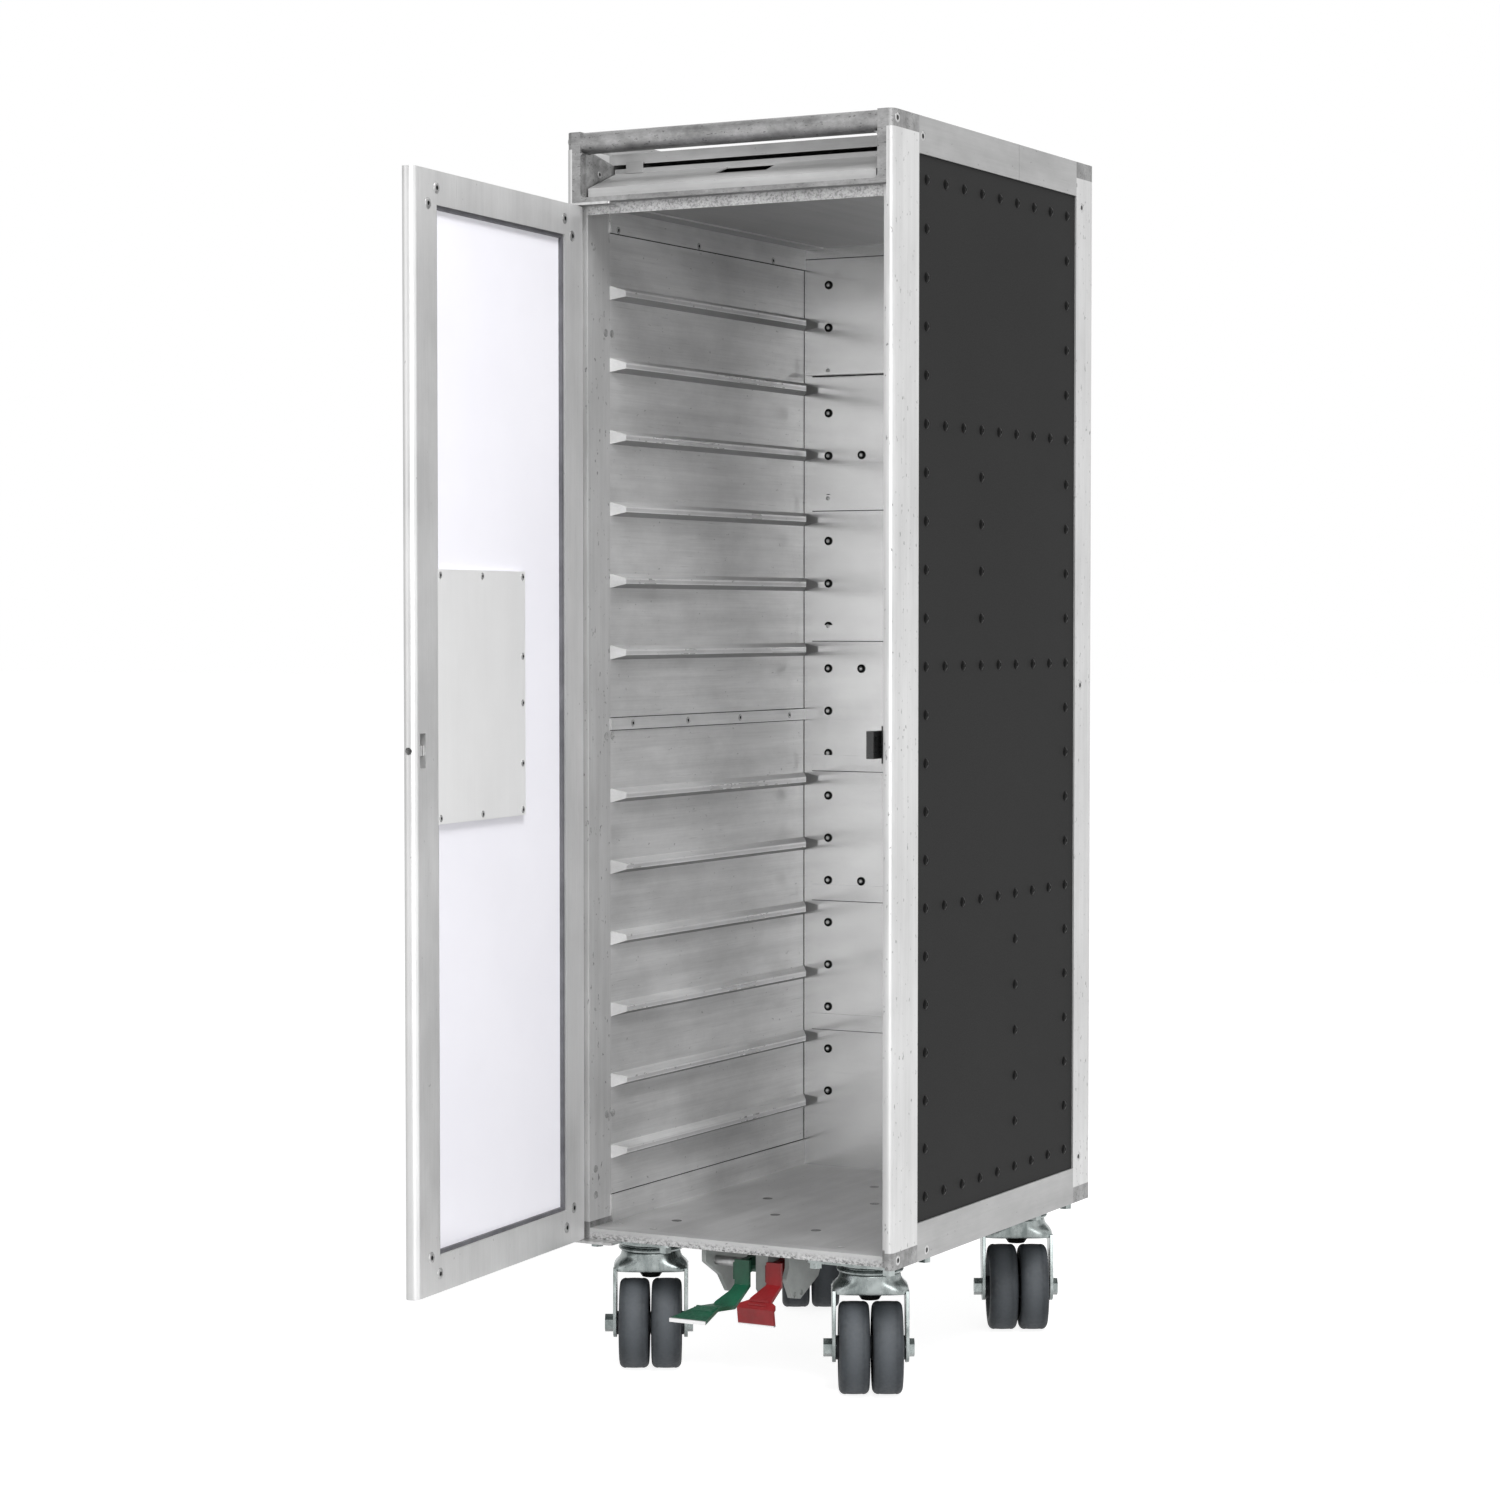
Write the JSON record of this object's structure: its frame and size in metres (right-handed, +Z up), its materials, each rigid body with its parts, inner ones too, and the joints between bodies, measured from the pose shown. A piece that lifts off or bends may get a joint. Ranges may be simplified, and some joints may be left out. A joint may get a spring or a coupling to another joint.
{
  "type": "airline galley cart",
  "caption": "Half-size airline galley cart: riveted insulated box with a hinged door, pressed tray runners, dry ice tray, pedal brake and twin-wheel swivel casters.",
  "frame": {"origin": "on the floor under the middle of the cabinet's plan", "axes": "+Z up along the cabinet's height, -Y towards the door side, +X to the right as a user faces the door"},
  "size_m": [0.301, 0.6841, 1.03],
  "materials": {
    "brushed_aluminium": "brushed and worn",
    "cast_aluminium": "cast, worn bright on the edges",
    "liner_aluminium": "satin sheet, scuffed",
    "door_aluminium": "anodised, satin",
    "black_panel": "matt dark grey",
    "white_panel": "gloss",
    "foam": "rigid foam",
    "black_rubber": "matt",
    "steel_zinc": "zinc plated",
    "screw_steel": "satin",
    "black_rivet": "satin black",
    "black_steel": "satin black",
    "tyre_grey": "worn polyurethane",
    "grey_bracket": "grey paint",
    "red_paint": "gloss, worn edges",
    "green_paint": "gloss, worn edges"
  },
  "bodies": {
    "cabinet": {"post_front_left": "brushed_aluminium", "post_front_right": "brushed_aluminium", "rear_posts": "brushed_aluminium", "corner_castings": "cast_aluminium", "rails": "brushed_aluminium", "handle_frame": "cast_aluminium", "sill": "brushed_aluminium", "side_panels": "black_panel", "rear_panel": "black_panel", "panel_rivets": "black_rivet", "wall_cores": "foam", "liners_upper": "liner_aluminium", "liners_lower": "liner_aluminium", "liner_joint_strips": "liner_aluminium", "rear_liner": "liner_aluminium", "rear_straps": "liner_aluminium", "floor_pan": "liner_aluminium", "corner_angles": "liner_aluminium", "base_plate": "brushed_aluminium", "roof_pan": "liner_aluminium", "top_deck": "brushed_aluminium", "cabinet_screws": "screw_steel", "door_keeper": "black_steel", "hinge_plates": "screw_steel", "brake_brackets": "grey_bracket", "pedal_shaft": "screw_steel", "caster_heads": "steel_zinc", "caster_bolts": "steel_zinc"},
    "door": {"door_hinge_stile": "door_aluminium", "door_free_stile": "door_aluminium", "door_rails": "door_aluminium", "door_inner_skin": "white_panel", "door_core": "foam", "door_outer_skin": "black_panel", "door_gasket": "black_rubber", "latch_housing": "black_steel", "latch_cover": "brushed_aluminium", "door_screws": "screw_steel"},
    "latch_paddle": {"latch_paddle": "black_steel"},
    "latch_bolt": {"latch_bolt": "screw_steel"},
    "ice_tray": {"ice_tray": "liner_aluminium"},
    "brake_pedal": {"red_pedal": "red_paint"},
    "release_pedal": {"green_pedal": "green_paint"},
    "brake_frame": {"brake_frame": "black_steel"},
    "fork_front_left": {"fork_front_left": "steel_zinc", "axle_bolt_front_left": "steel_zinc"},
    "wheel_front_left_a": {"wheel_front_left_a": "tyre_grey"},
    "wheel_front_left_b": {"wheel_front_left_b": "tyre_grey"},
    "fork_front_right": {"fork_front_right": "steel_zinc", "axle_bolt_front_right": "steel_zinc"},
    "wheel_front_right_a": {"wheel_front_right_a": "tyre_grey"},
    "wheel_front_right_b": {"wheel_front_right_b": "tyre_grey"},
    "fork_rear_left": {"fork_rear_left": "steel_zinc", "axle_bolt_rear_left": "steel_zinc"},
    "wheel_rear_left_a": {"wheel_rear_left_a": "tyre_grey"},
    "wheel_rear_left_b": {"wheel_rear_left_b": "tyre_grey"},
    "fork_rear_right": {"fork_rear_right": "steel_zinc", "axle_bolt_rear_right": "steel_zinc"},
    "wheel_rear_right_a": {"wheel_rear_right_a": "tyre_grey"},
    "wheel_rear_right_b": {"wheel_rear_right_b": "tyre_grey"}
  },
  "joints": [
    {"name": "door_hinge", "type": "hinge", "parent": "cabinet", "child": "door", "pos_m": [-0.1447, -0.1967, 0.5405], "axis": [0, 0, 1], "range_deg": [-95, 85]},
    {"name": "paddle_pivot", "type": "hinge", "parent": "door", "child": "latch_paddle", "pos_m": [-0.13093, -0.38512, 0.6148], "axis": [-0.0872, 0.9962, 0], "range_deg": [0, 35], "stiffness_Nm_per_rad": 0.15},
    {"name": "bolt_slide", "type": "slide", "parent": "door", "child": "latch_bolt", "axis": [-0.0872, 0.9962, 0], "range_m": [0, 0.009]},
    {"name": "ice_tray_slide", "type": "slide", "parent": "cabinet", "child": "ice_tray", "axis": [0, -1, 0], "range_m": [0, 0.3]},
    {"name": "brake_pedal_pivot", "type": "hinge", "parent": "cabinet", "child": "brake_pedal", "pos_m": [0, -0.152, 0.096], "axis": [-1, 0, 0], "range_deg": [0, 12]},
    {"name": "release_pedal_pivot", "type": "hinge", "parent": "cabinet", "child": "release_pedal", "pos_m": [0, -0.152, 0.096], "axis": [-1, 0, 0], "range_deg": [-12, 0]},
    {"name": "brake_frame_lift", "type": "slide", "parent": "cabinet", "child": "brake_frame", "axis": [0, 0, 1], "range_m": [0, 0.002]},
    {"name": "swivel_front_left", "type": "hinge", "parent": "cabinet", "child": "fork_front_left", "pos_m": [-0.1032, -0.1457, 0.095], "axis": [0, 0, 1], "continuous": true},
    {"name": "spin_front_left_a", "type": "hinge", "parent": "fork_front_left", "child": "wheel_front_left_a", "pos_m": [-0.11029, -0.16093, 0.0375], "axis": [0.8788, 0.4772, 0], "continuous": true},
    {"name": "spin_front_left_b", "type": "hinge", "parent": "fork_front_left", "child": "wheel_front_left_b", "pos_m": [-0.08656, -0.14805, 0.0375], "axis": [0.8788, 0.4772, 0], "continuous": true},
    {"name": "swivel_front_right", "type": "hinge", "parent": "cabinet", "child": "fork_front_right", "pos_m": [0.1032, -0.1457, 0.095], "axis": [0, 0, 1], "continuous": true},
    {"name": "spin_front_right_a", "type": "hinge", "parent": "fork_front_right", "child": "wheel_front_right_a", "pos_m": [0.09611, -0.16093, 0.0375], "axis": [0.8788, 0.4772, 0], "continuous": true},
    {"name": "spin_front_right_b", "type": "hinge", "parent": "fork_front_right", "child": "wheel_front_right_b", "pos_m": [0.11984, -0.14805, 0.0375], "axis": [0.8788, 0.4772, 0], "continuous": true},
    {"name": "swivel_rear_left", "type": "hinge", "parent": "cabinet", "child": "fork_rear_left", "pos_m": [-0.1032, 0.1457, 0.095], "axis": [0, 0, 1], "continuous": true},
    {"name": "spin_rear_left_a", "type": "hinge", "parent": "fork_rear_left", "child": "wheel_rear_left_a", "pos_m": [-0.11029, 0.13047, 0.0375], "axis": [0.8788, 0.4772, 0], "continuous": true},
    {"name": "spin_rear_left_b", "type": "hinge", "parent": "fork_rear_left", "child": "wheel_rear_left_b", "pos_m": [-0.08656, 0.14335, 0.0375], "axis": [0.8788, 0.4772, 0], "continuous": true},
    {"name": "swivel_rear_right", "type": "hinge", "parent": "cabinet", "child": "fork_rear_right", "pos_m": [0.1032, 0.1457, 0.095], "axis": [0, 0, 1], "continuous": true},
    {"name": "spin_rear_right_a", "type": "hinge", "parent": "fork_rear_right", "child": "wheel_rear_right_a", "pos_m": [0.09611, 0.13047, 0.0375], "axis": [0.8788, 0.4772, 0], "continuous": true},
    {"name": "spin_rear_right_b", "type": "hinge", "parent": "fork_rear_right", "child": "wheel_rear_right_b", "pos_m": [0.11984, 0.14335, 0.0375], "axis": [0.8788, 0.4772, 0], "continuous": true}
  ],
  "couplings": [
    {"joint": "bolt_slide", "follows": "paddle_pivot", "m_per_rad": 0.0147},
    {"joint": "release_pedal_pivot", "follows": "brake_pedal_pivot", "ratio": -1},
    {"joint": "brake_frame_lift", "follows": "brake_pedal_pivot", "m_per_rad": 0.0095}
  ]
}
